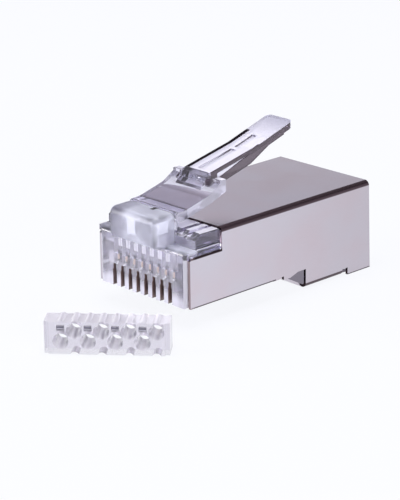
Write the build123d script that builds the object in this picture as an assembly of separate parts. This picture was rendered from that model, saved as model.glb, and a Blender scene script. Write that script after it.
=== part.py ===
from build123d import *
import os
from math import cos, radians, tan

# Shielded eight-way modular plug with its load bar lying beside it.
# Frame: X across the plug, Y from the front face back to the cable end, Z up through the latch.
# The origin is on the front face, on the centre plane, at the level of the contact side.
# All sizes are millimetres.

# Driving sizes of the plug
PLUG_W = 11.68
PLUG_H = 6.60
PLUG_L = 23.10
SHEET_T = 0.25
SHIELD_GAP = 0.03
POSITIONS = 8
PITCH = 1.02
CUT_OVER = 1.0

# Housing
HOUSING_L = 21.60
FRONT_H = 5.15
CREST_R = 0.45
STEP_Y = 1.20
SHOULDER_DROP = 0.15
STEP_SLOPE_Y = 0.70
STEP_SLOPE_Z = 0.50
FRONT_EDGE_R = 0.50
LONG_EDGE_R = 0.30
LEDGE_Z = 4.66
LEDGE_Y = 0.30
SHOULDER_END_Y = 4.02
SHOULDER_GROOVE_W = 0.50
SHOULDER_GROOVE_D = 0.34
SHOULDER_GROOVE_X = (3.42, 4.45)

# Nose that carries the latch
NOSE_W = 6.00
NOSE_OUT = 1.15
NOSE_TOP = 7.85
NOSE_CHIN = 5.20
NOSE_BROW_R = 0.70
NOSE_CHIN_R = 0.30
NOSE_SIDE_R = 0.50
PIN_MARK_X = 0.56
PIN_MARK_R = 0.13
PIN_MARK_IN = 0.42
PIN_MARK_D = 0.40

# Latch hinge at the back of the nose
HINGE_Y = 1.80
HINGE_R = 0.45
HINGE_GAP = 0.04
HINGE_WRAP = 60.0

# Latch strip, stops and lever
STRIP_T = 0.82
STRIP_FLAT_Y = 2.55
STRIP_RISE = 14.0
STRIP_END_Y = 5.45
STRIP_BEND_R = 3.00
STOP_BACK_Y = 7.47
STOP_TOP_Z = 9.60
STOP_LIP = 0.25
STOP_FRONT_Y = 6.75
STOP_UNDER_Z = 8.48
STOP_INNER_X = 2.10
NOTCH_FRONT_Y = 6.30
LEVER_W = 3.20
LEVER_T = 0.60
LEVER_ROOT = (6.55, 9.88)
LEVER_KNEE = (12.30, 11.10)
LEVER_TIP = (17.45, 12.68)
LEVER_TIP_R = 0.55
LEVER_FOOT_R = 0.50
FOOT_SINK = 0.20
NOTCH_FLOOR_UP = 0.35
WEB_T = 0.42
WEB_DEEP = 1.36
WEB_THIN = 0.72
WEB_SINK = 0.30
WEB_STEP_Y = 2.00
WEB_SLOPE = 0.35
WEB_END_IN = 1.20
RECESS_D = 0.14
RECESS_IN = 0.40
RECESS_HIGH = 0.10
RECESS_LOW = 0.70
LEVER_GROOVE_W = 0.70
LEVER_GROOVE_D = 0.20
LEVER_GROOVES = ((0.70, 4.85), (5.25, 7.55))

# Contact blades
BLADE_T = 0.30
BLADE_FRONT = 0.55
BLADE_BACK = 5.90
BLADE_LOW = 0.12
BLADE_TOP = 2.90
BLADE_WAIST = 2.15
BLADE_STEP = 0.50
BLADE_NOSE_R = 0.40
TOOTH_W = 0.60
TOOTH_PITCH = 1.20
TOOTH_FIRST_Y = 2.20
TEETH = 3
BLADE_GAP = 0.02

# Slots and wire channels in the housing
SLOT_W = 0.50
SLOT_H = 1.55
SLOT_NECK_H = 2.05
WALL_FRONT = 0.45
CHANNEL_W = 0.80
CHANNEL_TIP_W = 0.52
CHANNEL_TIP_L = 0.75
CHANNEL_LOW = 2.95
CHANNEL_TOP = 4.50
CHANNEL_END_Y = 7.50

# Chamber for the load bar and cavity for the cable
CHAMBER_LOW = 2.30
CHAMBER_END_Y = 11.50
CABLE_W = 8.80
CABLE_LOW = 0.75
CABLE_TOP = 5.45
CABLE_OPEN_Y = 14.00

# Load bar
BAR_W = 10.65
BAR_D = 2.20
BAR_H = 2.85
BAR_FIT = 0.06
BAR_PITCH = 1.16
BAR_SHIFT = 0.15
BAR_HOLE_R = 0.50
BAR_FUNNEL_R = 0.69
BAR_FUNNEL_D = 0.60
BAR_ROW_LOW = 1.15
BAR_ROW_HIGH = 2.08
BAR_RIDGE_R = 0.50
BAR_RIDGE_OUT = 0.10
BAR_FOOT_R = 0.42
BAR_FOOT_IN = 0.22
BAR_POCKET_W = 0.66
BAR_POCKET_D = 0.42
BAR_POCKET_H = 0.44
BAR_END_W = 0.38
BAR_END_IN = 0.22
BAR_TURN = 41.0
BAR_PLACE = (0.98, -12.17)

# Shield
SHIELD_FRONT_Y = 0.30
SHIELD_R = 0.46
WING_TOP = 4.62
WING_R = 0.25
TOP_FRONT_Y = 4.12
TAB_L = 2.80
TAB_SLOT_L = 0.70
TAB_SLOT_UP = 0.10
TAB_Z = -1.85
TAB_LEAN = 0.25
STRAP_L = 4.90
STRAP_Z = -1.72
FLAP_OUT = 0.75
RAMP_L = 2.70
LIP_L = 1.00
SEAM_W = 0.16
NOTCH_L = 1.00
NOTCH_UP = 0.10
HOOK_L = 0.85
HOOK_Z = -0.22
RELIEF_L = 1.00
RELIEF_UP = 0.12

# Sizes worked out from the driving ones
HALF_W = PLUG_W / 2
INNER_X = HALF_W - SHEET_T - SHIELD_GAP
INNER_TOP = PLUG_H - SHEET_T - SHIELD_GAP
HINGE_Z = NOSE_TOP - HINGE_R
SOCKET_R = HINGE_R + HINGE_GAP
NOSE_BACK_Y = HINGE_Y - SOCKET_R * cos(radians(HINGE_WRAP))
FLOOR_Z = TAB_Z
UPPER_FRONT = BLADE_FRONT + BLADE_STEP
TAB_FRONT_Y = PLUG_L - TAB_L
STRAP_BACK_Y = TAB_FRONT_Y - TAB_SLOT_L
STRAP_FRONT_Y = STRAP_BACK_Y - STRAP_L
RAMP_START_Y = STRAP_FRONT_Y - RAMP_L
FLAP_START_Y = RAMP_START_Y - LIP_L
FLAP_BACK_Y = STRAP_BACK_Y + FLAP_OUT
HOOK_END_Y = STRAP_FRONT_Y - 2 * NOTCH_L
RELIEF_BACK_Y = HOOK_END_Y - HOOK_L
RELIEF_Y = RELIEF_BACK_Y - RELIEF_L
STEP_H = PLUG_H - SHOULDER_DROP


def row_x(index):
    """Middle of one contact position across the plug."""
    return (index - (POSITIONS - 1) / 2) * PITCH


def slab(x0, x1, y0, y1, z0, z1):
    """Square block between two corners."""
    block = Box(x1 - x0, y1 - y0, z1 - z0)
    return Pos((x0 + x1) / 2, (y0 + y1) / 2, (z0 + z1) / 2) * block


def side_face(points):
    """Flat face from (y, z) points in the centre plane."""
    return make_face(Polyline([(0, y, z) for y, z in points], close=True))


def across(face, half_width):
    """Side-view face grown to both sides of the centre plane."""
    return extrude(face, amount=half_width, dir=(1, 0, 0), both=True)


def rod_x(y, z, radius, half_width):
    """Round bar along X."""
    return Pos(0, y, z) * Rot(0, 90, 0) * Cylinder(radius, 2 * half_width)


def edges_along(solid, axis, keep):
    """Straight edges along one axis whose middle passes a test."""
    return [edge for edge in solid.edges().filter_by(axis) if keep(edge.center())]


# Housing: clear one-piece moulding

def housing_shell():
    """Outside of the body: low front, sloped shoulder and the part that the shield covers."""
    profile = side_face([
        (0, 0),
        (0, FRONT_H),
        (STEP_Y, FRONT_H),
        (STEP_Y, STEP_H - STEP_SLOPE_Z),
        (STEP_Y + STEP_SLOPE_Y, STEP_H),
        (SHOULDER_END_Y, STEP_H),
        (SHOULDER_END_Y, INNER_TOP),
        (HOUSING_L, INNER_TOP),
        (HOUSING_L, 0),
    ])
    side = across(profile, INNER_X)
    crest = edges_along(side, Axis.X, lambda c: c.Y < STEP_Y / 2 and c.Z > FRONT_H / 2)
    side = fillet(crest, CREST_R)
    section = Plane.XZ * Pos(0, STEP_H / 2) * RectangleRounded(2 * INNER_X, STEP_H, LONG_EDGE_R)
    plan_l = HOUSING_L + 2 * FRONT_EDGE_R
    plan = Pos(0, plan_l / 2) * RectangleRounded(2 * INNER_X, plan_l, FRONT_EDGE_R)
    return side & extrude(section, amount=HOUSING_L, dir=(0, 1, 0)) & extrude(plan, amount=STEP_H)


def side_ledges():
    """Thin rim on each side that sits over the top edge of the shield's wings."""
    rims = Part()
    for side in (-1, 1):
        inner = side * (INNER_X - LONG_EDGE_R)
        outer = side * HALF_W
        rims += slab(min(inner, outer), max(inner, outer), LEDGE_Y, SHOULDER_END_Y, LEDGE_Z, FRONT_H)
    return rims


def nose():
    """Block that stands out over the front face and carries the latch."""
    sketch = side_face([
        (-NOSE_OUT, NOSE_CHIN),
        (-NOSE_OUT, NOSE_TOP),
        (NOSE_BACK_Y, NOSE_TOP),
        (NOSE_BACK_Y, FRONT_H - CREST_R),
        (0, FRONT_H - CREST_R),
    ])
    block = across(sketch, NOSE_W / 2)
    brow = edges_along(block, Axis.X, lambda c: c.Y < 0 and c.Z > HINGE_Z)
    block = fillet(brow, NOSE_BROW_R)
    chin = edges_along(block, Axis.X, lambda c: c.Y < -NOSE_CHIN_R and c.Z < HINGE_Z)
    block = fillet(chin, NOSE_CHIN_R)
    cheeks = edges_along(block, Axis.Z, lambda c: c.Y < 0)
    return fillet(cheeks, NOSE_SIDE_R)


def pin_mark():
    """Small blind hole that a mould pin leaves in the top of the nose, just before the hinge."""
    place = Pos(PIN_MARK_X, NOSE_BACK_Y - PIN_MARK_IN, NOSE_TOP)
    return place * Cylinder(PIN_MARK_R, 2 * PIN_MARK_D)


def shoulder_grooves():
    """Two shallow grooves along the top of each shoulder."""
    cuts = Part()
    for side in (-1, 1):
        for x in SHOULDER_GROOVE_X:
            mid = side * x
            half = SHOULDER_GROOVE_W / 2
            cuts += slab(mid - half, mid + half, STEP_Y, SHOULDER_END_Y,
                         STEP_H - SHOULDER_GROOVE_D, STEP_H + CUT_OVER)
    return cuts


def contact_cuts():
    """Slots for the blades, their front windows and the wire channels above them."""
    cuts = Part()
    half = BLADE_T / 2 + BLADE_GAP
    for index in range(POSITIONS):
        x = row_x(index)
        cuts += slab(x - half, x + half, BLADE_FRONT - BLADE_GAP, BLADE_BACK + BLADE_GAP,
                     -CUT_OVER, BLADE_WAIST + BLADE_GAP)
        cuts += slab(x - half, x + half, UPPER_FRONT - BLADE_GAP, BLADE_BACK + BLADE_GAP,
                     BLADE_WAIST, CHANNEL_LOW + BLADE_GAP)
        cuts += slab(x - half, x + half, -CUT_OVER, BLADE_BACK, -CUT_OVER, SLOT_NECK_H)
        cuts += slab(x - SLOT_W / 2, x + SLOT_W / 2, -CUT_OVER, BLADE_FRONT - BLADE_GAP,
                     -CUT_OVER, SLOT_H)
        for width, start in ((CHANNEL_TIP_W, WALL_FRONT), (CHANNEL_W, WALL_FRONT + CHANNEL_TIP_L)):
            cuts += slab(x - width / 2, x + width / 2, start, CHANNEL_END_Y + BLADE_GAP,
                         CHANNEL_LOW, CHANNEL_TOP)
    return cuts


def cable_cuts():
    """Chamber that takes the load bar and the open cavity that takes the cable."""
    bar_half = BAR_W / 2 + BAR_FIT
    chamber_top = CHAMBER_LOW + BAR_H + BAR_RIDGE_OUT + BAR_FIT
    cuts = slab(-bar_half, bar_half, CHANNEL_END_Y, CHAMBER_END_Y, CHAMBER_LOW, chamber_top)
    cable_half = CABLE_W / 2
    cuts += slab(-cable_half, cable_half, CHAMBER_END_Y - CUT_OVER, HOUSING_L + CUT_OVER,
                 CABLE_LOW, CABLE_TOP)
    cuts += slab(-cable_half, cable_half, CABLE_OPEN_Y, HOUSING_L + CUT_OVER, -CUT_OVER, CABLE_LOW)
    return cuts


def housing():
    body = housing_shell() + side_ledges() + nose()
    body -= rod_x(HINGE_Y, HINGE_Z, SOCKET_R, NOSE_W)
    body -= pin_mark()
    body -= shoulder_grooves()
    body -= contact_cuts()
    body -= cable_cuts()
    return body


# Latch: sprung strip, two stops and the thumb lever

def strip_profile():
    """Side view of the strip from its root up to the back of the stops."""
    rise = tan(radians(STRIP_RISE))
    root_top = HINGE_Z + HINGE_R
    end_top = (STRIP_END_Y, root_top + (STRIP_END_Y - STRIP_FLAT_Y) * rise)
    end_low = (STRIP_END_Y, end_top[1] - STRIP_T)
    ramp_z = STOP_TOP_Z - STOP_LIP
    return side_face([
        (HINGE_Y, root_top),
        (STRIP_FLAT_Y, root_top),
        end_top,
        (STOP_FRONT_Y, ramp_z),
        (STOP_FRONT_Y, STOP_TOP_Z),
        (STOP_BACK_Y, STOP_TOP_Z),
        (STOP_BACK_Y, STOP_UNDER_Z),
        end_low,
        (STRIP_FLAT_Y, root_top - STRIP_T),
        (HINGE_Y, HINGE_Z - HINGE_R),
    ])


def latch_strip():
    """Sprung strip with its bends rounded."""
    strip = across(strip_profile(), NOSE_W / 2)
    near = (HINGE_Y + STRIP_FLAT_Y) / 2
    far = (STRIP_END_Y + STOP_FRONT_Y) / 2
    return fillet(edges_along(strip, Axis.X, lambda c: near < c.Y < far), STRIP_BEND_R)


def lever_top(y):
    """Height of the lever's top line at a distance from the front face."""
    start, end = (LEVER_ROOT, LEVER_KNEE) if y < LEVER_KNEE[0] else (LEVER_KNEE, LEVER_TIP)
    return start[1] + (y - start[0]) * (end[1] - start[1]) / (end[0] - start[0])


def lever_point(y, depth):
    """Point at a depth under the lever's top line."""
    return (y, lever_top(y) - depth)


def lever_plate():
    """Thumb plate with its sloped front that grows out of the strip."""
    under = [lever_point(y, LEVER_T) for y in (LEVER_TIP[0], LEVER_KNEE[0], LEVER_ROOT[0])]
    plate = across(side_face([LEVER_ROOT, LEVER_KNEE, LEVER_TIP] + under), LEVER_W / 2)
    corners = edges_along(plate, Axis.Z, lambda c: c.Y > LEVER_KNEE[0])
    plate = fillet(corners, LEVER_TIP_R)
    foot = side_face([
        (STRIP_END_Y + FOOT_SINK, STOP_UNDER_Z + FOOT_SINK),
        LEVER_ROOT,
        lever_point(STOP_BACK_Y, LEVER_T / 2),
        (STOP_BACK_Y, STOP_UNDER_Z),
    ])
    plate += across(foot, LEVER_W / 2)
    crest = edges_along(plate, Axis.X, lambda c: c.Y < STOP_BACK_Y and c.Z > STOP_TOP_Z)
    return fillet(crest, LEVER_FOOT_R)


def lever_webs():
    """Two ribs under the plate's long edges, deep over the first half and shallow near the tip."""
    start_y = STOP_BACK_Y - WEB_SINK
    end_y = LEVER_TIP[0] - WEB_END_IN
    web = side_face([
        (start_y, LEVER_ROOT[1]),
        LEVER_KNEE,
        lever_point(end_y, LEVER_T / 2),
        lever_point(end_y, WEB_THIN),
        lever_point(LEVER_KNEE[0] + WEB_STEP_Y, WEB_THIN),
        (LEVER_KNEE[0] - WEB_SLOPE, LEVER_KNEE[1] - WEB_DEEP),
        (start_y, STOP_UNDER_Z),
    ])
    webs = Part()
    for side in (-1, 1):
        mid = side * (LEVER_W / 2 - WEB_T / 2)
        webs += Pos(mid, 0, 0) * across(web, WEB_T / 2)
    return webs


def lever_recesses():
    """Long wedge sunk into the outer face of each rib, just under the plate."""
    start_y = STOP_BACK_Y + WEB_SINK
    wedge = side_face([
        (LEVER_KNEE[0] - RECESS_IN, LEVER_KNEE[1] - RECESS_IN),
        (start_y, LEVER_ROOT[1] - RECESS_HIGH),
        (start_y, LEVER_ROOT[1] - RECESS_LOW),
    ])
    cuts = Part()
    for side in (-1, 1):
        cuts += Pos(side * LEVER_W / 2, 0, 0) * across(wedge, RECESS_D)
    return cuts


def lever_grooves():
    """Two shallow grooves along the middle of the plate's top."""
    cuts = Part()
    for near, far in LEVER_GROOVES:
        start = LEVER_ROOT[0] + near
        end = LEVER_ROOT[0] + far
        groove = side_face([
            lever_point(start, LEVER_GROOVE_D),
            lever_point(start, -CUT_OVER),
            lever_point(end, -CUT_OVER),
            lever_point(end, LEVER_GROOVE_D),
        ])
        cuts += across(groove, LEVER_GROOVE_W / 2)
    return cuts


def stop_notches():
    """Gaps between the lever's foot and the two stops."""
    cuts = Part()
    for side in (-1, 1):
        inner = side * LEVER_W / 2
        outer = side * STOP_INNER_X
        cuts += slab(min(inner, outer), max(inner, outer), NOTCH_FRONT_Y, STOP_BACK_Y + CUT_OVER,
                     STOP_UNDER_Z + NOTCH_FLOOR_UP, LEVER_TIP[1])
    return cuts


def latch():
    body = rod_x(HINGE_Y, HINGE_Z, HINGE_R, NOSE_W / 2)
    body += latch_strip()
    body -= stop_notches()
    body += lever_plate() + lever_webs()
    body -= lever_recesses()
    body -= lever_grooves()
    return body


# Contact blade

def blade_profile():
    """Side view of a blade: foot, upper front set back from it, and teeth that point up at the wires."""
    outline = [(BLADE_FRONT, BLADE_LOW), (BLADE_FRONT, BLADE_WAIST)]
    outline += [(UPPER_FRONT, BLADE_WAIST), (UPPER_FRONT, BLADE_TOP)]
    outline += [(UPPER_FRONT + TOOTH_W, BLADE_TOP), (UPPER_FRONT + TOOTH_W, BLADE_WAIST)]
    for tooth in range(TEETH):
        start = TOOTH_FIRST_Y + tooth * TOOTH_PITCH
        outline += [(start, BLADE_WAIST), (start + TOOTH_W / 2, BLADE_TOP), (start + TOOTH_W, BLADE_WAIST)]
    outline += [(BLADE_BACK, BLADE_WAIST), (BLADE_BACK, BLADE_LOW)]
    return side_face(outline)


def blade():
    plate = across(blade_profile(), BLADE_T / 2)
    foot = edges_along(plate, Axis.X, lambda c: c.Y < TOOTH_W and c.Z < BLADE_WAIST / 2)
    return fillet(foot, BLADE_NOSE_R)


# Shield: one folded sheet

def shield_side_profile():
    """Side view of the folded sheet without its underside."""
    return side_face([
        (SHIELD_FRONT_Y, 0),
        (SHIELD_FRONT_Y, WING_TOP - WING_R),
        (SHIELD_FRONT_Y + WING_R, WING_TOP),
        (TOP_FRONT_Y, WING_TOP),
        (TOP_FRONT_Y, PLUG_H),
        (PLUG_L, PLUG_H),
        (PLUG_L + TAB_LEAN, TAB_Z),
        (TAB_FRONT_Y, TAB_Z),
        (TAB_FRONT_Y, STRAP_Z + SHIELD_R + TAB_SLOT_UP),
        (STRAP_BACK_Y, STRAP_Z + SHIELD_R + TAB_SLOT_UP),
        (STRAP_BACK_Y, STRAP_Z + SHIELD_R),
        (STRAP_FRONT_Y, STRAP_Z + SHIELD_R),
        (STRAP_FRONT_Y, NOTCH_UP),
        (HOOK_END_Y + NOTCH_L, NOTCH_UP),
        (HOOK_END_Y, HOOK_Z),
        (RELIEF_BACK_Y, HOOK_Z),
        (RELIEF_BACK_Y, RELIEF_UP),
        (RELIEF_Y, RELIEF_UP),
        (RELIEF_Y, 0),
    ])


def tube(inset, radius, low):
    """Rounded rectangular bar along Y, set in from the shield's outside."""
    height = PLUG_H - low - 2 * inset
    section = Plane.XZ * Pos(0, (PLUG_H + low) / 2) * RectangleRounded(PLUG_W - 2 * inset, height, radius)
    return extrude(section, amount=PLUG_L + 2 * CUT_OVER, dir=(0, 1, 0))


def shield_walls():
    """Top and side walls of the sheet, open underneath."""
    low = TAB_Z - CUT_OVER - SHIELD_R
    skin = tube(0, SHIELD_R, low) - tube(SHEET_T, SHIELD_R - SHEET_T, low)
    return skin & across(shield_side_profile(), PLUG_W)


def shield_strap():
    """Turned-in bends under the cable, over the length of the strap."""
    skin = tube(0, SHIELD_R, STRAP_Z) - tube(SHEET_T, SHIELD_R - SHEET_T, STRAP_Z)
    return skin & slab(-PLUG_W, PLUG_W, STRAP_FRONT_Y, STRAP_BACK_Y,
                       STRAP_Z - CUT_OVER, STRAP_Z + SHIELD_R)


def shield_flaps():
    """Underside flaps: a flat lip below the housing, a ramp and the floor under the cable."""
    lip_top = -SHIELD_GAP
    outline = [
        (FLAP_START_Y, lip_top),
        (RAMP_START_Y, lip_top),
        (STRAP_FRONT_Y, STRAP_Z + SHEET_T),
        (FLAP_BACK_Y, STRAP_Z + SHEET_T),
        (FLAP_BACK_Y, STRAP_Z),
        (STRAP_FRONT_Y, STRAP_Z),
        (RAMP_START_Y, lip_top - SHEET_T),
        (FLAP_START_Y, lip_top - SHEET_T),
    ]
    flaps = across(side_face(outline), HALF_W - SHIELD_R)
    return flaps - slab(-SEAM_W / 2, SEAM_W / 2, 0, PLUG_L, STRAP_Z - CUT_OVER, 0)


def shield():
    return shield_walls() + shield_strap() + shield_flaps()


# Load bar: clear comb with two staggered rows of wire holes

def bar_x(index):
    return BAR_W / 2 + BAR_SHIFT + (index - (POSITIONS - 1) / 2) * BAR_PITCH


def along_bar(x, z, radius, depth=BAR_D):
    """Round bar through the load bar from its near face."""
    return Pos(x, depth / 2, z) * Rot(90, 0, 0) * Cylinder(radius, depth)


def wire_hole(x, z):
    """Straight hole with a funnel at the near face."""
    funnel = Pos(x, BAR_FUNNEL_D / 2, z) * Rot(90, 0, 0) * Cone(BAR_HOLE_R, BAR_FUNNEL_R, BAR_FUNNEL_D)
    return along_bar(x, z, BAR_HOLE_R) + funnel


def load_bar():
    body = slab(0, BAR_W, 0, BAR_D, 0, BAR_H)
    for index in range(POSITIONS):
        body += along_bar(bar_x(index), BAR_H + BAR_RIDGE_OUT - BAR_RIDGE_R, BAR_RIDGE_R)
    for end_x in (0, BAR_W - BAR_END_W):
        body -= slab(end_x, end_x + BAR_END_W, 0, BAR_END_IN, 0, BAR_H)
    for index in range(POSITIONS):
        x = bar_x(index)
        upper = index % 2 == 1
        body -= wire_hole(x, BAR_ROW_HIGH if upper else BAR_ROW_LOW)
        if upper:
            body -= along_bar(x, BAR_FOOT_IN - BAR_FOOT_R, BAR_FOOT_R)
        else:
            body -= slab(x - BAR_POCKET_W / 2, x + BAR_POCKET_W / 2, 0, BAR_POCKET_D,
                         BAR_ROW_HIGH, BAR_ROW_HIGH + BAR_POCKET_H)
    return Pos(BAR_PLACE[0], BAR_PLACE[1], FLOOR_Z) * Rot(0, 0, BAR_TURN) * body


def build():
    nodes = {"housing": housing(), "latch": latch(), "shield": shield(), "load_bar": load_bar()}
    contact = blade()
    for index in range(POSITIONS):
        nodes[f"contact_{index + 1}"] = Pos(row_x(index), 0, 0) * contact
    return nodes


os.makedirs("parts", exist_ok=True)
for name, solid in build().items():
    export_step(solid, f"parts/{name}.step")
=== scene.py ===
from math import radians

import bmesh
import bpy
from bpy.props import FloatProperty, FloatVectorProperty, PointerProperty
from mathutils import Color, Matrix, Vector


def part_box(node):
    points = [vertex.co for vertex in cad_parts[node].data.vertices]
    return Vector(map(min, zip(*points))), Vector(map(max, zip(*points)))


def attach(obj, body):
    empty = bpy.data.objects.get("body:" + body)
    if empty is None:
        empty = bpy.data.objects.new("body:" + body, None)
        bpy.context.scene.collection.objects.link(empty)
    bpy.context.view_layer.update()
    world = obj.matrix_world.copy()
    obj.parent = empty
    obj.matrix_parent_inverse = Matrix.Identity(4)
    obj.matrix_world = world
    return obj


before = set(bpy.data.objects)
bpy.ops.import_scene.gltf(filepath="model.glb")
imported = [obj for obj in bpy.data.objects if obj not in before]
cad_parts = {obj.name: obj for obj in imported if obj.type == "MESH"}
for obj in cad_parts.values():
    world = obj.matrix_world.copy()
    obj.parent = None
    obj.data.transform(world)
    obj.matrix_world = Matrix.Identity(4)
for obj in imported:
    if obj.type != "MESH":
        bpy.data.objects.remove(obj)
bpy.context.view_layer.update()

bl_info = {
    "name": "Shielded Modular Plug",
    "version": (1, 0, 0),
    "blender": (4, 5, 0),
    "location": "3D View > Sidebar > Plug",
    "description": "Finishes of a shielded modular plug and its load bar, with a plain studio",
    "category": "Object",
}

MM = 0.001


def span(low, high):
    """Two limits given in millimetres."""
    return low * MM, high * MM


CONTACTS = sorted(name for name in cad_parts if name.startswith("contact_"))
FLOOR_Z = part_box("load_bar")[0].z

# Levels that a smooth change goes between, and the whole range of a share.
RISE = (0.0, 1.0)
FALL = (1.0, 0.0)
WHOLE = (0.0, 1.0)

# Soft border of each painted zone.
ZONE_SOFT = 0.08 * MM

# How far a face's direction leans to an axis before the face counts as turned that way.
SIDE_FACING = (0.8, 0.95)
TOP_FACING = (0.8, 0.9)
SHEET_FACING = (0.85, 0.95)

# Zones are given as x across the plug, y back from the front face, and z up from the contact side. Where both
# sides are alike, x is the distance from the middle.

# Nose: its dull part, its clearer left greyed as painted shade, its top made paler as painted light, its two
# painted highlight patches and the painted shade of its pin mark.
NOSE_DULL_Y = span(0.9, 1.5)
NOSE_DULL_Z = span(4.6, 5.2)
NOSE_LEFT_X = span(-3.0, -1.2)
NOSE_LEFT_MATT = (0.3, 1.0)
NOSE_SHADE_X = span(-1.5, -0.6)
NOSE_SHADE_GREY = 0.9
NOSE_MATT = 0.9
NOSE_TOP_PAINTED_LIGHT = 0.5
NOSE_PAINTED_HIGHLIGHT = (span(-0.5, 0.5), span(-1.3, -0.7), span(5.9, 7.3))
NOSE_PAINTED_HIGHLIGHT_MILK = 0.8
NOSE_SIDE_PAINTED_HIGHLIGHT = (span(2.6, 3.1), span(-0.8, 0.4), span(6.4, 7.4))
NOSE_SIDE_PAINTED_HIGHLIGHT_MILK = 0.7
PIN_MARK_SHADE = (span(0.4, 0.8), span(0.74, 1.34), span(7.4, 7.9))

# Front face: its frost, which thins upwards, past the row of slots and in a row of small windows, and its
# foot, made paler as painted light.
FRONT_Y = span(-0.2, 0.02)
FRONT_FOOT_Z = span(0.3, 1.6)
FRONT_HIGH_FROST = 0.42
FRONT_FOOT_PAINTED_LIGHT = 0.6
ROW_END_X = span(4.3, 4.9)
ROW_END_FROST = 0.6
WINDOW_X = span(-3.2, 4.5)
WINDOW_INSET = span(0.2, 0.62)
WINDOW_Z = span(2.35, 3.4)
WINDOW_FROST = 0.35

# Comb of pale marks on the front face, one for each rib, each split by a thin gap.
COMB_X = span(-3.15, 3.75)
COMB_START = -3.25 * MM
COMB_PITCH = 1.02 * MM
COMB_RIB = span(0.28, 0.72)
COMB_Z = span(3.9, 4.65)
COMB_GAP = span(0.5, 0.54)
COMB_GAP_SHARE = 0.4
COMB_MATT = 0.85
COMB_PASSES = 0.85

# Walls of the wire channels and of the blade slots, and the housing's sides ahead of the sheet; the slot
# walls and the sides ahead of the sheet carry painted shade in brown.
ROW_X = span(0.0, 4.3)
CHANNEL_Y = span(0.5, 1.2)
CHANNEL_Z = span(3.0, 4.4)
SLOT_Y = span(-0.1, 0.6)
SLOT_Z = span(-0.1, 2.0)
CORNER = (span(5.25, 5.8), span(0.02, 0.6), span(0.0, 4.4))
CORNER_MILK = 0.8
BESIDE_SHEET = (CORNER[0], span(0.14, 0.7), CORNER[2])
BESIDE_SHEET_BROWN = 0.7

# Tops of the shoulders, made paler as painted light, and painted shade on their sides, which grows a little
# towards the back.
SHOULDER_Y = span(1.3, 4.0)
SHOULDER_Z = span(6.0, 6.6)
CHEEK_SHADE = (span(5.0, 5.95), span(1.2, 4.1), span(4.6, 6.6))
CHEEK_FADE_Y = span(2.8, 7.6)
CHEEK_DARK = (0.45, 0.8)

# Lever: its plate, the sides of its ribs and recess, its notches and its edge lines, with painted shade on
# the rib sides, notches and edge lines, its left greyed as painted shade, its greyer end and its paler part.
LEVER_Y = span(7.0, 20.0)
LEVER_Z = span(8.0, 14.0)
RIB_X = span(1.56, 1.7)
RECESS_X = span(1.40, 1.48)
NOTCH = (span(1.58, 2.12), span(6.28, 7.2), span(8.8, 9.5))
LEFT_LINE_X = span(-1.7, -1.2)
LEFT_LINE_Y = span(7.0, 14.6)
RIGHT_LINE_X = span(1.5, 1.7)
RIGHT_LINE_Y = span(7.0, 13.0)
PAINTED_SHADE_PASSES = 0.4
LEVER_SHADE_X = span(-1.0, -0.5)
LEVER_SHADE_GREY = 0.35
LEVER_TIP_Y = span(14.5, 17.5)
LEVER_TIP_GREY = 0.7
LEVER_PALE_Y = span(12.0, 16.0)
LEVER_PALE = (1.0, 0.2)
LEVER_PALE_PASSES = 0.4

# Outer sides of the hinge's arms.
FLANK = (span(2.8, 3.1), span(2.8, 7.6), span(6.8, 9.7))
FLANK_GREY = 0.55
FLANK_MILK = 0.8

# Load bar: the way of its holes and the way along it, its walls in line with the holes, its four small
# pockets and its foot.
BAR_Y = span(-3.0, -2.0)
BAR_DEPTH = (-0.6561, 0.7547, 0.0)
BAR_ALONG = (0.7547, 0.6561, 0.0)
BAR_MATT = 0.3
BAR_WALL_FACING = (0.3, 0.7)
BAR_WALL_MATT = 0.8
POCKETS = 4
POCKET_FIRST = -5.83 * MM
POCKET_PITCH = 2.32 * MM
POCKET_HALF_W = 0.34 * MM
POCKET_IN = span(-9.75, -9.38)
POCKET_Z = (FLOOR_Z + 2.18 * MM, FLOOR_Z + 2.6 * MM)
BAR_FOOT_Z = (FLOOR_Z + 0.24 * MM, FLOOR_Z + 0.4 * MM)
BAR_FOOT_SHADE = 0.5

# Polycarbonate: refraction, flow waves and clouds, and the share of light that its zones of painted light
# pass on.
POLYCARBONATE_IOR = 1.585
FLOW_SIZE = 1.6 * MM
FLOW_HEIGHT = 0.02 * MM
FLOW_CLOUD = (0.35, 0.7)
CLOUD_MATT = (0.4, 1.0)
PAINTED_LIGHT_PASSES = 0.6

# Sheet: the range of its noises, its clouds, its rolling lines and its slow darkening backwards.
NOISE_LOW = 0.3
NOISE_HIGH = 0.7
CLOUD_SIZE = 5.0 * MM
CLOUD_TINT = (0.3, 0.75)
SATIN_LESS = 0.03
SATIN_MORE = 0.04
LINE_STRETCH = (1.0, 0.04, 1.0)
LINE_DARK = 0.975
BACKWARD_TONE_Y = span(0.0, 26.0)
BACKWARD_TONE = (1.0, 0.84)

# Folds of the sheet: how far a face is turned between side and top, and the tone of the painted dark
# reflection as the face turns.
FOLD_TURN = (0.03, 0.16)
FOLD_LEAN = (0.2, 0.8)
FOLD_TONE = (0.62, 1.0)
FOLD_ROUGH = 0.36

# Punched edges of the sheet: on top of the wings, where still plated, and on the left, and painted shade
# lines along the bottom edges and the wings' tops.
WING_EDGE_Z = span(4.0, 6.2)
SHADE_LINES = (
    (span(0.0, 11.0), span(-0.1, 0.05)),
    (span(20.2, 24.0), span(-1.95, -1.81)),
    (span(0.3, 4.12), span(4.46, 4.7)),
)
PLATED_EDGE_Y = span(0.3, 1.0)
PLATED_WALL = (span(3.8, 4.4), span(4.75, 6.2))
LEFT_EDGE_X = span(-5.0, -4.0)
LEFT_EDGE = (0.8, 0.0)

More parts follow.
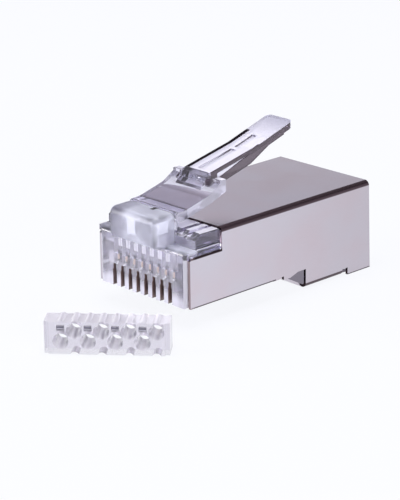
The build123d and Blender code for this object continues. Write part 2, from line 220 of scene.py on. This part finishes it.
# Upper faces of the flaps, which carry painted shade.
FLAP_Z = span(-1.6, -1.3)

# Rear corner of each flap: x, y, the height of its underside at both ends, thickness and rounding.
FLAP_CORNER = (span(4.2, 5.38), span(20.3, 21.5), span(-1.72, -1.84))
SHEET_T = 0.25 * MM
FLAP_CORNER_R = 0.3 * MM
FLAP_CORNER_STEPS = 4

# Blades: their foot and the step above it, both coloured as painted shade, and their wear.
BLADE_FOOT_Z = span(2.14, 2.3)
STEP_Z = span(2.0, 2.28)
STEP_ROUGH = 0.9
WEAR_SIZE = 0.5 * MM
WEAR_LESS = 0.06
WEAR_MORE = 0.12

# Share of the floor that looks as bright as its colour is written.
FLOOR_PLAIN = 0.93

# Studio round the plug, from straight down (0) to straight up (1).
STUDIO = (
    (0.0, "#FBFBFF"),
    (0.62, "#FBFBFF"),
    (0.66, "#BEBAC6"),
    (0.72, "#8A848C"),
    (0.77, "#2A2228"),
    (0.885, "#2A2228"),
    (0.94, "#D8D6E0"),
    (1.0, "#FFFFFF"),
)

# Lamps: name, place, what it looks at, size and share of the power, in metres.
LAMPS = (
    ("overhead", (0.0, 0.01, 0.32), (0.0, 0.01, 0.0), (0.22, 0.22), 1.0),
    ("right", (0.28, -0.07, 0.055), (0.0, 0.0, 0.005), (0.2, 0.09), 0.8),
    ("left", (-0.22, -0.26, 0.09), (0.0, 0.0, 0.005), (0.26, 0.12), 1.4),
)

# Camera: point looked at, distance and lens in millimetres, angles in degrees, near limit in metres.
CAMERA_AIM = (-1.11, 8.13, 1.88)
CAMERA_DISTANCE = 200.17
CAMERA_LENS = 159.4
CAMERA_TURN = 46.33
CAMERA_RISE = 18.92
CAMERA_ROLL = -0.74
CAMERA_NEAR = 0.01

# Bounces of light, enough for clear walls one behind another.
CLEAR_BOUNCES = 32
GLOSSY_BOUNCES = 24


def linear(code):
    """Linear red, green and blue of an sRGB hex colour."""
    parts = [int(code[i:i + 2], 16) / 255 for i in (1, 3, 5)]
    return [c / 12.92 if c <= 0.04045 else ((c + 0.055) / 1.055) ** 2.4 for c in parts]


def colour(name, description, code):
    """A colour setting that starts at an sRGB hex value."""
    return FloatVectorProperty(
        name=name, description=description, subtype="COLOR", size=3, min=0.0, max=1.0, default=linear(code))


def add_node(tree, kind, inputs=None, **options):
    """Adds a node with its options, and gives each input its value, its opaque colour or its link."""
    node = tree.nodes.new(kind)
    for name, value in options.items():
        setattr(node, name, value)
    for name, value in (inputs or {}).items():
        if isinstance(value, bpy.types.NodeSocket):
            tree.links.new(value, node.inputs[name])
        elif isinstance(value, Color):
            node.inputs[name].default_value = [*value, 1.0]
        else:
            node.inputs[name].default_value = value
    return node


def new_material(name):
    """Empty node material and its tree."""
    material = bpy.data.materials.new(name)
    material.use_nodes = True
    material.node_tree.nodes.clear()
    return material, material.node_tree


def whereabouts(tree):
    """Place on the piece and direction of its face, each as a vector and by axis."""
    source = add_node(tree, "ShaderNodeTexCoord")
    ways = source.outputs["Object"], source.outputs["Normal"]
    place, facing = ((way, add_node(tree, "ShaderNodeSeparateXYZ", {"Vector": way}).outputs) for way in ways)
    return place, facing


def mask(tree, share, *changes):
    """Share times smooth changes, each with a value, its two limits and the levels at them."""
    for value, (low, high), (at_low, at_high) in changes:
        change = add_node(tree, "ShaderNodeMapRange", {
            "Value": value, "From Min": low, "From Max": high, "To Min": at_low, "To Max": at_high},
            interpolation_type="SMOOTHSTEP")
        share = add_node(tree, "ShaderNodeMath", {
            0: share, 1: change.outputs["Result"]}, operation="MULTIPLY").outputs[0]
    return share


def zone(tree, share, *limits):
    """Share kept only where each value lies between its two limits, with soft borders."""
    for value, (low, high) in limits:
        share = mask(tree, share, (value, (low - ZONE_SOFT, low), RISE),
                     (value, (high, high + ZONE_SOFT), FALL))
    return share


def strongest(tree, *parts):
    """Largest of several shares, each times its level."""
    shares = [add_node(tree, "ShaderNodeMath", {0: share, 1: level}, operation="MULTIPLY").outputs[0]
              for share, level in parts]
    best = shares[0]
    for share in shares[1:]:
        best = add_node(tree, "ShaderNodeMath", {0: best, 1: share}, operation="MAXIMUM").outputs[0]
    return best


def paint(tree, skin, tint, *parts):
    """Colour with a tint laid over it as thickly as the strongest of some shares says."""
    layer = add_node(tree, "ShaderNodeMix", {0: strongest(tree, *parts), 6: skin, 7: tint}, data_type="RGBA")
    return layer.outputs[2]


def dress(name, material):
    """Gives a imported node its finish."""
    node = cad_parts[name]
    node.data.materials.clear()
    node.data.materials.append(material)


class PlasticSettings(bpy.types.PropertyGroup):
    tint: colour("Tint", "Colour of the clear moulding and its faint milkiness", "#EEECFA")
    nose_tint: colour("Nose tint", "Bluer milkiness of the dull nose", "#E5E7F9")
    bar_tint: colour("Load bar tint", "Greyer milkiness of the load bar", "#DFDCE6")
    depth_tint: colour("Depth tint", "Colour that light takes on its way through the moulding", "#B5B2C2")
    depth: FloatProperty(
        name="Depth", description="How strongly thick walls darken", default=12.0, min=0.0)
    gloss: FloatProperty(
        name="Roughness", description="Roughness of the polished mould faces", default=0.02, min=0.0, max=1.0)
    haze: FloatProperty(
        name="Haze", description="Roughness of the dull nose", default=0.45, min=0.0, max=1.0)
    milk: FloatProperty(
        name="Milkiness", description="Share of light that the clear parts scatter", default=0.05,
        min=0.0, max=1.0)
    dull_milk: FloatProperty(
        name="Dull milkiness", description="Share of light that the matt parts scatter", default=0.5,
        min=0.0, max=1.0)
    # Painted shade: brown standing in for the blades and the sheet seen dark through the walls beside them.
    slot_painted_shade: colour(
        "Slot tint", "Brown that the blades and the sheet lend to the walls beside them", "#8C7672")
    # Painted shade: near black on the lever's left edge line, the pin mark and the shoulders' sides.
    line_painted_shade: colour(
        "Line tint", "Near black of the lever's left edge, the pin mark and the shoulders' sides", "#1E1A20")
    pocket_tint: colour("Pocket tint", "Shade in the load bar's pockets and along its foot", "#6E6C7C")
    # Partly painted shade: greyer on the lever's left and the nose's left as painted shade, and just greyer
    # on the lever's end and the hinge's arms.
    grey_and_shade_tint: colour(
        "Grey tint", "Greyer milkiness of the lever, the hinge's arms and the nose's left", "#B9B8CC")
    # Painted shade: the dark tone of the lever's ribs, notches and edge lines.
    rib_painted_shade: colour("Rib tint", "Dark tone of the lever's ribs, notches and edge lines", "#4A3E48")


class SheetSettings(bpy.types.PropertyGroup):
    colour: colour("Colour", "Nickel plating on the folded sheet", "#D1CCD6")
    cloud_colour: colour("Cloud colour", "Warmer patches of the plating", "#D3C8D1")
    roughness: FloatProperty(
        name="Roughness", description="Roughness of the satin plating", default=0.16, min=0.0, max=1.0)
    # Also painted shade: the same dark colour is laid along lines at the bottom edges and the wings' tops.
    edge_and_shade_colour: colour("Cut edge", "Bare and oxidised metal on the punched edges", "#2E2226")
    front_edge_colour: colour("Front edge", "Punched edge at the front, partly plated", "#96868A")
    # Painted reflection: the folds are coloured brown and darker as they turn sideways, standing in for the
    # dark band they mirror.
    fold_painted_reflection: colour("Fold", "Darkened plating over the folds", "#6A5961")
    # Painted shade: the flaps' upper faces are coloured duller and darker.
    flap_painted_shade: colour("Flaps", "Duller plating of the flaps inside the walls", "#A09BA6")
    line: FloatProperty(
        name="Rolling line", description="Width of the sheet's faint rolling lines", subtype="DISTANCE",
        default=0.05 * MM)


class ContactSettings(bpy.types.PropertyGroup):
    colour: colour("Colour", "Thin gold plating on the contact blades", "#F6DEBC")
    # Painted shade: the blade's foot is coloured brown for the shade deep in the slots.
    edge_and_shade_colour: colour("Foot", "Brown copper alloy of the punched foot", "#6A4A40")
    # Painted shade: the step is coloured near black where a highlight would show.
    step_painted_shade: colour("Step", "Shadowed oxide on the step above the foot", "#2A1E1A")
    roughness: FloatProperty(
        name="Roughness", description="Roughness of the stamped blades", default=0.22, min=0.0, max=1.0)


class StageSettings(bpy.types.PropertyGroup):
    floor_colour: colour("Floor", "Pale paper of the floor", "#FAFBFF")
    floor_size: FloatProperty(
        name="Floor size", description="Length of the floor's side", subtype="DISTANCE", default=6.0)
    lamp: FloatProperty(
        name="Lamp", description="Power of the lamp overhead, which the other two follow", subtype="POWER",
        default=0.7)


class PlugSettings(bpy.types.PropertyGroup):
    plastic: PointerProperty(type=PlasticSettings)
    sheet: PointerProperty(type=SheetSettings)
    contact: PointerProperty(type=ContactSettings)
    stage: PointerProperty(type=StageSettings)


def settings():
    """Sizes and colours that the panel shows."""
    return bpy.context.scene.modular_plug


def bar_pockets(tree, place, z):
    """Share of the load bar's small pockets."""
    along, inward = (
        add_node(tree, "ShaderNodeVectorMath", {0: place, 1: way}, operation="DOT_PRODUCT").outputs["Value"]
        for way in (BAR_ALONG, BAR_DEPTH))
    start = POCKET_FIRST - POCKET_PITCH / 2
    spot = add_node(tree, "ShaderNodeMath", {0: along, 1: start + POCKET_PITCH, 2: start}, operation="WRAP")
    return zone(
        tree, 1.0, (along, (start, start + POCKETS * POCKET_PITCH)),
        (spot.outputs[0], (POCKET_FIRST - POCKET_HALF_W, POCKET_FIRST + POCKET_HALF_W)),
        (inward, POCKET_IN), (z, POCKET_Z))


def clear_polycarbonate():
    """Clear polycarbonate, injection moulded.

    Glossy mould faces with slow flow waves and a lavender depth in thick walls. The nose is dull and cloudy,
    with two painted highlight patches, painted light on its top and painted shade on its left and pin mark.
    The front face has frosted marks and painted light at its foot, and painted shade darkens the lever's ribs
    and edges, the slot walls and the shoulders' sides.
    """
    name = "clear_polycarbonate_moulded"
    if name in bpy.data.materials:
        return bpy.data.materials[name]
    plastic = settings().plastic
    material, tree = new_material(name)
    (place, (x, y, z)), (facing, (facing_x, _, facing_z)) = whereabouts(tree)
    through = add_node(tree, "ShaderNodeVectorMath", {0: facing, 1: BAR_DEPTH}, operation="DOT_PRODUCT")
    off, sideways, holeways = (
        add_node(tree, "ShaderNodeMath", {0: value}, operation="ABSOLUTE").outputs[0]
        for value in (x, facing_x, through.outputs["Value"]))
    side = mask(tree, 1.0, (sideways, SIDE_FACING, RISE))
    upward = (facing_z, TOP_FACING, RISE)
    flow = add_node(tree, "ShaderNodeTexNoise", {
        "Vector": place, "Scale": 1 / FLOW_SIZE, "Detail": 3.0, "Roughness": 0.55})

    nose = mask(tree, 1.0, (y, NOSE_DULL_Y, FALL), (z, NOSE_DULL_Z, RISE))
    nose_top = mask(tree, nose, upward)
    # Painted shade: the nose's left is coloured greyer.
    nose_shade = mask(tree, nose, (x, NOSE_SHADE_X, FALL))
    frosted = mask(tree, nose, (x, NOSE_LEFT_X, NOSE_LEFT_MATT),
                   (flow.outputs["Fac"], FLOW_CLOUD, CLOUD_MATT))
    # Painted highlights: two patches of the nose scatter more light and pass less, so that they look
    # brighter.
    painted_highlight = strongest(tree, (zone(tree, 1.0, *zip((x, y, z), NOSE_PAINTED_HIGHLIGHT)), NOSE_PAINTED_HIGHLIGHT_MILK),
                      (zone(tree, 1.0, *zip((off, y, z), NOSE_SIDE_PAINTED_HIGHLIGHT)), NOSE_SIDE_PAINTED_HIGHLIGHT_MILK))
    # Painted shade: the pin mark is coloured near black.
    pin = zone(tree, 1.0, *zip((x, y, z), PIN_MARK_SHADE))

    front = zone(tree, 1.0, (y, FRONT_Y))
    wrapped = add_node(tree, "ShaderNodeMath", {
        0: x, 1: COMB_START + COMB_PITCH, 2: COMB_START}, operation="WRAP")
    inset = add_node(tree, "ShaderNodeMath", {
        0: wrapped.outputs[0], 1: COMB_START}, operation="SUBTRACT").outputs[0]
    gap = zone(tree, COMB_GAP_SHARE, (inset, COMB_GAP))
    comb = zone(tree, front, (x, COMB_X), (inset, COMB_RIB), (z, COMB_Z))
    comb = mask(tree, comb, (gap, WHOLE, FALL))
    window = zone(tree, front, (x, WINDOW_X), (inset, WINDOW_INSET), (z, WINDOW_Z))
    frost = mask(
        tree, front, (z, FRONT_FOOT_Z, (1.0, FRONT_HIGH_FROST)), (off, ROW_END_X, (1.0, ROW_END_FROST)),
        (window, WHOLE, (1.0, WINDOW_FROST)))
    front_foot = mask(tree, front, (z, FRONT_FOOT_Z, FALL))

    row = zone(tree, side, (off, ROW_X))
    channel = zone(tree, row, (y, CHANNEL_Y), (z, CHANNEL_Z))
    slot = zone(tree, row, (y, SLOT_Y), (z, SLOT_Z))
    corner = zone(tree, 1.0, *zip((off, y, z), CORNER))
    beside_sheet = zone(tree, side, *zip((off, y, z), BESIDE_SHEET))
    shoulder = mask(tree, zone(tree, 1.0, (y, SHOULDER_Y), (z, SHOULDER_Z)), upward)
    # Painted shade: the shoulders' sides are coloured near black, more so towards the back.
    cheek_shade = zone(tree, side, *zip((off, y, z), CHEEK_SHADE))
    cheek_shade = mask(tree, cheek_shade, (y, CHEEK_FADE_Y, CHEEK_DARK))

    lever = zone(tree, 1.0, (y, LEVER_Y), (z, LEVER_Z))
    plate = mask(tree, lever, upward)
    lever_side = mask(tree, lever, (sideways, SIDE_FACING, RISE))
    rib = zone(tree, lever_side, (off, RIB_X))
    recess = zone(tree, lever_side, (off, RECESS_X))
    notch = zone(tree, 1.0, *zip((off, y, z), NOTCH))
    left_shade_line = zone(tree, plate, (x, LEFT_LINE_X), (y, LEFT_LINE_Y))
    right_shade_line = zone(tree, plate, (x, RIGHT_LINE_X), (y, RIGHT_LINE_Y))
    # Painted shade: the lever's rib sides, notches and edge lines are coloured dark and pass less light.
    dark = strongest(tree, (rib, 1.0), (notch, 1.0), (left_shade_line, 1.0), (right_shade_line, 1.0))
    # Painted shade: the lever's plate is greyer on its left.
    lever_shade = mask(tree, plate, (x, LEVER_SHADE_X, FALL))
    lever_tip = mask(tree, plate, (y, LEVER_TIP_Y, RISE))
    lever_pale = mask(tree, plate, (y, LEVER_PALE_Y, LEVER_PALE))
    flank = zone(tree, side, *zip((off, y, z), FLANK))

    bar = mask(tree, 1.0, (y, BAR_Y, FALL))
    bar_top = mask(tree, bar, upward)
    bar_wall = mask(tree, bar, (holeways, BAR_WALL_FACING, FALL))
    bar_foot = mask(tree, bar_wall, (z, BAR_FOOT_Z, FALL))
    pocket = bar_pockets(tree, place, z)

    skin = plastic.tint
    for tint, *parts in (
            (plastic.nose_tint, (nose, 1.0)),
            (plastic.bar_tint, (bar, 1.0)),
            (plastic.slot_painted_shade, (slot, 1.0)),
            (plastic.grey_and_shade_tint, (lever_tip, LEVER_TIP_GREY), (flank, FLANK_GREY),
             (lever_shade, LEVER_SHADE_GREY), (nose_shade, NOSE_SHADE_GREY)),
            (plastic.slot_painted_shade, (beside_sheet, BESIDE_SHEET_BROWN)),
            (plastic.rib_painted_shade, (dark, 1.0)),
            (plastic.line_painted_shade, (left_shade_line, 1.0), (pin, 1.0), (cheek_shade, 1.0)),
            (plastic.pocket_tint, (pocket, 1.0)),
            (plastic.pocket_tint, (bar_foot, BAR_FOOT_SHADE))):
        skin = paint(tree, skin, tint, *parts)

    matt = strongest(
        tree, (frosted, NOSE_MATT), (channel, 1.0), (slot, 1.0), (recess, 1.0), (plate, 1.0),
        (bar, BAR_MATT), (bar_wall, BAR_WALL_MATT), (comb, COMB_MATT), (flank, FLANK_MILK), (painted_highlight, 1.0),
        (pin, 1.0), (pocket, 1.0), (corner, CORNER_MILK), (frost, 1.0), (shoulder, 1.0))
    # Painted light: these zones pass less light and scatter more, so that they look paler than the clear
    # moulding.
    painted_light = strongest(
        tree, (pocket, 1.0), (painted_highlight, 1.0), (nose_top, NOSE_TOP_PAINTED_LIGHT), (bar_top, 1.0), (shoulder, 1.0),
        (front_foot, FRONT_FOOT_PAINTED_LIGHT))
    passed = mask(
        tree, 1.0, (matt, WHOLE, (1.0 - plastic.milk, 1.0 - plastic.dull_milk)),
        (dark, WHOLE, (1.0, PAINTED_SHADE_PASSES)), (comb, WHOLE, (1.0, COMB_PASSES)),
        (lever_pale, WHOLE, (1.0, LEVER_PALE_PASSES)), (painted_light, WHOLE, (1.0, PAINTED_LIGHT_PASSES)))

    wave = add_node(tree, "ShaderNodeBump", {
        "Height": flow.outputs["Fac"], "Strength": 0.25, "Distance": FLOW_HEIGHT})
    shader = add_node(tree, "ShaderNodeBsdfPrincipled", {
        "Base Color": skin, "Roughness": mask(tree, 1.0, (nose, WHOLE, (plastic.gloss, plastic.haze))),
        "Normal": wave.outputs["Normal"], "IOR": POLYCARBONATE_IOR, "Transmission Weight": passed})
    depth = add_node(tree, "ShaderNodeVolumeAbsorption", {
        "Color": plastic.depth_tint, "Density": plastic.depth})
    add_node(tree, "ShaderNodeOutputMaterial", {
        "Surface": shader.outputs["BSDF"], "Volume": depth.outputs["Volume"]})
    return material


def nickel_sheet():
    """Nickel-plated steel sheet, rolled, punched and folded.

    Satin metal with faint rolling lines along the plug and soft warmer clouds. The folds carry a painted dark
    reflection in brown, the punched edges are dark with painted shade lines along the bottom and the wings'
    tops, and the flaps inside the walls are duller with painted shade.
    """
    name = "nickel_plated_sheet_folded"
    if name in bpy.data.materials:
        return bpy.data.materials[name]
    sheet = settings().sheet
    material, tree = new_material(name)
    (place, (x, y, z)), (_, (facing_x, facing_y, facing_z)) = whereabouts(tree)
    stretched = add_node(tree, "ShaderNodeMapping", {"Vector": place, "Scale": LINE_STRETCH})
    lines = add_node(tree, "ShaderNodeTexNoise", {
        "Vector": stretched.outputs["Vector"], "Scale": 1 / sheet.line, "Detail": 2.0})
    clouds = add_node(tree, "ShaderNodeTexNoise", {"Vector": place, "Scale": 1 / CLOUD_SIZE, "Detail": 3.0})
    satin = add_node(tree, "ShaderNodeMapRange", {
        "Value": clouds.outputs["Fac"], "From Min": NOISE_LOW, "From Max": NOISE_HIGH,
        "To Min": sheet.roughness - SATIN_LESS, "To Max": sheet.roughness + SATIN_MORE})
    grain = add_node(tree, "ShaderNodeMapRange", {
        "Value": lines.outputs["Fac"], "From Min": NOISE_LOW, "From Max": NOISE_HIGH,
        "To Min": LINE_DARK, "To Max": 1.0})
    # Darker towards the back.
    tone = mask(tree, grain.outputs["Result"], (y, BACKWARD_TONE_Y, BACKWARD_TONE))
    cloudy = mask(tree, 1.0, (clouds.outputs["Fac"], CLOUD_TINT, RISE))
    plate = paint(tree, sheet.colour, sheet.cloud_colour, (cloudy, 1.0))
    plate = add_node(tree, "ShaderNodeMix", {
        0: 1.0, 6: plate, 7: tone}, data_type="RGBA", blend_type="MULTIPLY").outputs[2]

    top = mask(tree, 1.0, (facing_z, SHEET_FACING, RISE))
    turned = add_node(tree, "ShaderNodeMath", {0: facing_x, 1: facing_z}, operation="MULTIPLY")
    endways, folded = (
        add_node(tree, "ShaderNodeMath", {0: value}, operation="ABSOLUTE").outputs[0]
        for value in (facing_y, turned.outputs[0]))
    fold = mask(tree, 1.0, (folded, FOLD_TURN, RISE))
    brown = add_node(tree, "ShaderNodeMix", {
        0: 1.0, 6: sheet.fold_painted_reflection, 7: mask(tree, 1.0, (facing_z, FOLD_LEAN, FOLD_TONE))},
        data_type="RGBA", blend_type="MULTIPLY").outputs[2]
    plate = paint(tree, plate, sheet.flap_painted_shade, (zone(tree, top, (z, FLAP_Z)), 1.0))
    plate = paint(tree, plate, brown, (fold, 1.0))

    edge = paint(tree, sheet.edge_and_shade_colour, sheet.front_edge_colour,
                 (mask(tree, 1.0, (y, PLATED_EDGE_Y, FALL)), 1.0),
                 (zone(tree, 1.0, *zip((y, z), PLATED_WALL)), 1.0))
    edge = paint(tree, edge, sheet.colour, (mask(tree, 1.0, (x, LEFT_EDGE_X, LEFT_EDGE)), 1.0))
    # Painted shade: dark lines along the bottom edges and the wings' tops.
    shade_lines = [(zone(tree, 1.0, *zip((y, z), line)), 1.0) for line in SHADE_LINES]
    skin = paint(tree, plate, edge, (mask(tree, 1.0, (endways, SHEET_FACING, RISE)), 1.0),
                 (zone(tree, top, (z, WING_EDGE_Z)), 1.0), *shade_lines)
    gloss = strongest(tree, (satin.outputs["Result"], 1.0), (fold, FOLD_ROUGH))
    shader = add_node(tree, "ShaderNodeBsdfPrincipled", {
        "Base Color": skin, "Metallic": 1.0, "Roughness": gloss})
    add_node(tree, "ShaderNodeOutputMaterial", {"Surface": shader.outputs["BSDF"]})
    return material


def gold_contact():
    """Gold flash over nickel on stamped copper alloy.

    Warm metal with small patches of duller wear, a brown foot and a dark rough step above it, both
    coloured as painted shade.
    """
    contact = settings().contact
    material, tree = new_material("gold_plated_contact_stamped")
    place = add_node(tree, "ShaderNodeTexCoord").outputs["Object"]
    z = add_node(tree, "ShaderNodeSeparateXYZ", {"Vector": place}).outputs["Z"]
    wear = add_node(tree, "ShaderNodeTexNoise", {"Vector": place, "Scale": 1 / WEAR_SIZE, "Detail": 3.0})
    dull = add_node(tree, "ShaderNodeMapRange", {
        "Value": wear.outputs["Fac"], "To Min": contact.roughness - WEAR_LESS,
        "To Max": contact.roughness + WEAR_MORE})
    # Painted shade on the foot and on the step above it.
    foot = mask(tree, 1.0, (z, BLADE_FOOT_Z, FALL))
    step = zone(tree, 1.0, (z, STEP_Z))
    skin = paint(tree, contact.colour, contact.edge_and_shade_colour, (foot, 1.0))
    skin = paint(tree, skin, contact.step_painted_shade, (step, 1.0))
    gloss = strongest(tree, (dull.outputs["Result"], 1.0), (step, STEP_ROUGH))
    shader = add_node(tree, "ShaderNodeBsdfPrincipled", {
        "Base Color": skin, "Metallic": 1.0, "Roughness": gloss})
    add_node(tree, "ShaderNodeOutputMaterial", {"Surface": shader.outputs["BSDF"]})
    return material


def pale_floor():
    """Matt white paper.

    Camera, glossy and transmission rays see it nearly as plain as its colour is written. The small matt
    share keeps the object's shadow as a faint grey.
    """
    stage = settings().stage
    material, tree = new_material("white_paper_matt")
    rays = add_node(tree, "ShaderNodeLightPath").outputs
    plain = strongest(tree, (rays["Is Camera Ray"], FLOOR_PLAIN), (rays["Is Glossy Ray"], FLOOR_PLAIN),
                      (rays["Is Transmission Ray"], FLOOR_PLAIN))
    paper = add_node(tree, "ShaderNodeBsdfDiffuse", {"Color": stage.floor_colour})
    glow = add_node(tree, "ShaderNodeEmission", {"Color": stage.floor_colour, "Strength": 1.0})
    mixed = add_node(tree, "ShaderNodeMixShader", {
        0: plain, 1: paper.outputs["BSDF"], 2: glow.outputs["Emission"]})
    add_node(tree, "ShaderNodeOutputMaterial", {"Surface": mixed.outputs["Shader"]})
    return material


def studio_world():
    """White below and round the horizon, white overhead, and a dark band between that the folds mirror."""
    world = bpy.data.worlds.new("studio")
    world.use_nodes = True
    tree = world.node_tree
    tree.nodes.clear()
    way = add_node(tree, "ShaderNodeTexCoord").outputs["Generated"]
    parts = add_node(tree, "ShaderNodeSeparateXYZ", {"Vector": way})
    height = add_node(tree, "ShaderNodeMapRange", {
        "Value": parts.outputs["Z"], "From Min": -1.0, "From Max": 1.0})
    ramp = add_node(tree, "ShaderNodeValToRGB", {"Fac": height.outputs["Result"]})
    elements = ramp.color_ramp.elements
    for position, _ in STUDIO[1:-1]:
        elements.new(position)
    for element, (_, code) in zip(elements, STUDIO):
        element.color = [*linear(code), 1.0]
    sky = add_node(tree, "ShaderNodeBackground", {"Color": ramp.outputs["Color"], "Strength": 1.0})
    add_node(tree, "ShaderNodeOutputWorld", {"Surface": sky.outputs["Background"]})
    return world


def add_lamp(name, place, aim, size, power):
    """Soft lamp that looks at a point."""
    lamp = bpy.data.lights.new(name, "AREA")
    lamp.shape = "RECTANGLE"
    lamp.size, lamp.size_y = size
    lamp.energy = power
    item = bpy.data.objects.new(name, lamp)
    item.location = place
    item.rotation_euler = (Vector(aim) - Vector(place)).to_track_quat("-Z", "Y").to_euler()
    bpy.context.scene.collection.objects.link(item)


def add_camera():
    """Camera at the photograph's angle: a long lens 0.2 m from the plug."""
    turn = (Matrix.Rotation(radians(CAMERA_TURN), 4, "Z") @ Matrix.Rotation(radians(90 - CAMERA_RISE), 4, "X")
            @ Matrix.Rotation(radians(CAMERA_ROLL), 4, "Z"))
    data = bpy.data.cameras.new("camera")
    data.lens = CAMERA_LENS
    data.clip_start = CAMERA_NEAR
    camera = bpy.data.objects.new("camera", data)
    camera.matrix_world = (Matrix.Translation(Vector(CAMERA_AIM) * MM) @ turn
                           @ Matrix.Translation((0, 0, CAMERA_DISTANCE * MM)))
    bpy.context.scene.collection.objects.link(camera)
    bpy.context.scene.camera = camera


class PLUG_OT_housing(bpy.types.Operator):
    """Gives the housing its clear moulded finish"""
    bl_idname = "plug.housing"
    bl_label = "Housing"

    def execute(self, context):
        dress("housing", clear_polycarbonate())
        return {"FINISHED"}


class PLUG_OT_latch(bpy.types.Operator):
    """Gives the latch its clear moulded finish"""
    bl_idname = "plug.latch"
    bl_label = "Latch"

    def execute(self, context):
        dress("latch", clear_polycarbonate())
        return {"FINISHED"}


class PLUG_OT_load_bar(bpy.types.Operator):
    """Gives the load bar its clear moulded finish"""
    bl_idname = "plug.load_bar"
    bl_label = "Load Bar"

    def execute(self, context):
        dress("load_bar", clear_polycarbonate())
        return {"FINISHED"}


class PLUG_OT_shield(bpy.types.Operator):
    """Gives the folded shield its nickel finish"""
    bl_idname = "plug.shield"
    bl_label = "Shield"

    def execute(self, context):
        dress("shield", nickel_sheet())
        return {"FINISHED"}


class PLUG_OT_flap_corners(bpy.types.Operator):
    """Adds the rear corners of the flaps, seen in the slots before the cable tabs"""
    bl_idname = "plug.flap_corners"
    bl_label = "Flap Corners"

    def execute(self, context):
        (inner, outer), (near, far), (near_z, far_z) = FLAP_CORNER
        shape = bmesh.new()
        for side in (-1, 1):
            rim = [shape.verts.new((side * x, y, z)) for x, y, z in (
                (inner, near, near_z), (outer, near, near_z), (outer, far, far_z), (inner, far, far_z))]
            shape.faces.new(rim)
        bmesh.ops.recalc_face_normals(shape, faces=shape.faces)
        thick = bmesh.ops.extrude_face_region(shape, geom=shape.faces[:])
        upper = [item for item in thick["geom"] if isinstance(item, bmesh.types.BMVert)]
        bmesh.ops.translate(shape, vec=(0, 0, SHEET_T), verts=upper)
        corners = [edge for edge in shape.edges
                   if abs(edge.verts[0].co.y - far) < ZONE_SOFT and abs(edge.verts[1].co.y - far) < ZONE_SOFT
                   and abs(edge.verts[0].co.x - edge.verts[1].co.x) < ZONE_SOFT]
        bmesh.ops.bevel(shape, geom=corners, offset=FLAP_CORNER_R, offset_type="OFFSET",
                        segments=FLAP_CORNER_STEPS, profile=0.5, affect="EDGES", material=-1)
        bmesh.ops.recalc_face_normals(shape, faces=shape.faces)
        mesh = bpy.data.meshes.new("flap_corners")
        shape.to_mesh(mesh)
        shape.free()
        piece = bpy.data.objects.new("flap_corners", mesh)
        context.scene.collection.objects.link(piece)
        mesh.materials.append(nickel_sheet())
        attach(piece, "plug")
        return {"FINISHED"}


class PLUG_OT_contacts(bpy.types.Operator):
    """Gives the eight contact blades their gold finish"""
    bl_idname = "plug.contacts"
    bl_label = "Contacts"

    def execute(self, context):
        material = gold_contact()
        for name in CONTACTS:
            dress(name, material)
        return {"FINISHED"}


class PLUG_OT_stage(bpy.types.Operator):
    """Adds the pale floor, soft lamps and camera"""
    bl_idname = "plug.stage"
    bl_label = "Stage"

    def execute(self, context):
        stage = settings().stage
        bpy.ops.mesh.primitive_plane_add(size=stage.floor_size, location=(0, 0, FLOOR_Z))
        floor = context.object
        floor.name = "floor"
        floor.data.materials.append(pale_floor())
        context.scene.world = studio_world()
        for name, place, aim, size, share in LAMPS:
            add_lamp(name, place, aim, size, stage.lamp * share)
        add_camera()
        context.scene.view_settings.view_transform = "Standard"
        paths = context.scene.cycles
        paths.max_bounces = CLEAR_BOUNCES
        paths.glossy_bounces = GLOSSY_BOUNCES
        paths.transmission_bounces = CLEAR_BOUNCES
        return {"FINISHED"}


class PLUG_PT_panel(bpy.types.Panel):
    """Pieces of the plug and its stage"""
    bl_label = "Modular Plug"
    bl_idname = "PLUG_PT_panel"
    bl_space_type = "VIEW_3D"
    bl_region_type = "UI"
    bl_category = "Plug"

    def draw(self, context):
        for operator in OPERATORS:
            self.layout.operator(operator.bl_idname)
        for group in ("plastic", "sheet", "contact", "stage"):
            box = self.layout.box()
            part = getattr(context.scene.modular_plug, group)
            for name in part.__annotations__:
                box.prop(part, name)


GROUPS = (PlasticSettings, SheetSettings, ContactSettings, StageSettings, PlugSettings)
OPERATORS = (PLUG_OT_housing, PLUG_OT_latch, PLUG_OT_load_bar, PLUG_OT_shield, PLUG_OT_flap_corners,
             PLUG_OT_contacts, PLUG_OT_stage)
CLASSES = (*GROUPS, *OPERATORS, PLUG_PT_panel)


def register():
    for item in CLASSES:
        bpy.utils.register_class(item)
    bpy.types.Scene.modular_plug = PointerProperty(type=PlugSettings)


def unregister():
    del bpy.types.Scene.modular_plug
    for item in reversed(CLASSES):
        bpy.utils.unregister_class(item)


def main():
    register()
    bpy.ops.plug.stage()
    bpy.ops.plug.housing()
    bpy.ops.plug.latch()
    bpy.ops.plug.load_bar()
    bpy.ops.plug.shield()
    bpy.ops.plug.flap_corners()
    bpy.ops.plug.contacts()


if __name__ == "__main__":
    main()
